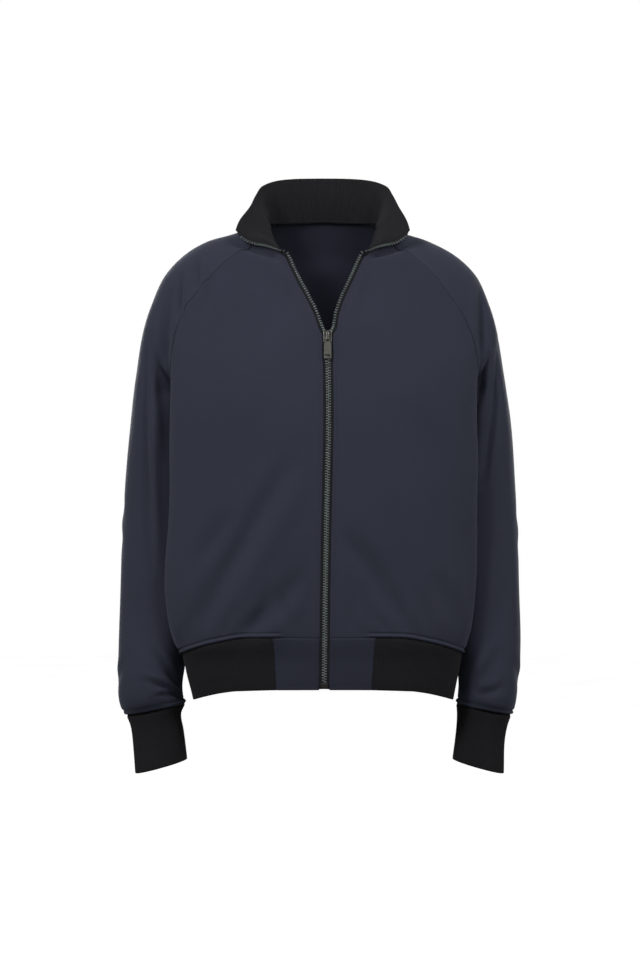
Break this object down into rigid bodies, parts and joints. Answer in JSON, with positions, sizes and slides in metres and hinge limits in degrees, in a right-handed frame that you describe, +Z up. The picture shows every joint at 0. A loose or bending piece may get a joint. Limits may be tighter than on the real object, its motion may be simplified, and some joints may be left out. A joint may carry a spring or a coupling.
{
  "type": "zip-up sweatshirt",
  "caption": "Raglan-sleeve sweatshirt kept in its worn form, with a stand collar, rib cuffs and hem, and a full-length front zip opened at the neck.",
  "frame": {"origin": "the middle of the neck base, level with the tops of the shoulders, where the wearer's neck holds it", "axes": "+Z up the body, -Y the way the wearer faces, +X the wearer's left"},
  "size_m": [0.5217, 0.2464, 0.7777],
  "materials": {
    "cloth": "smooth slate-navy double knit",
    "rib": "black fine rib knit",
    "zip_tape": "woven tape",
    "zip_teeth": "satin",
    "slider_metal": "worn gunmetal"
  },
  "bodies": {
    "garment": {"front_right": "cloth", "front_left": "cloth", "back": "cloth", "sleeve_right": "cloth", "sleeve_left": "cloth", "hem_tab_right": "cloth", "hem_tab_left": "cloth", "hem_rib": "rib", "cuff_right": "rib", "cuff_left": "rib", "collar": "rib", "zip_tape_right": "zip_tape", "zip_teeth_right": "zip_teeth", "zip_tape_left": "zip_tape", "zip_teeth_left": "zip_teeth", "zip_slider": "slider_metal"},
    "pull": {"zip_pull": "slider_metal"}
  },
  "joints": [
    {"name": "pull_swing", "type": "hinge", "parent": "garment", "child": "pull", "pos_m": [0.00502, -0.11409, -0.14835], "axis": [-1, 0, 0], "range_deg": [0, 130]}
  ]
}
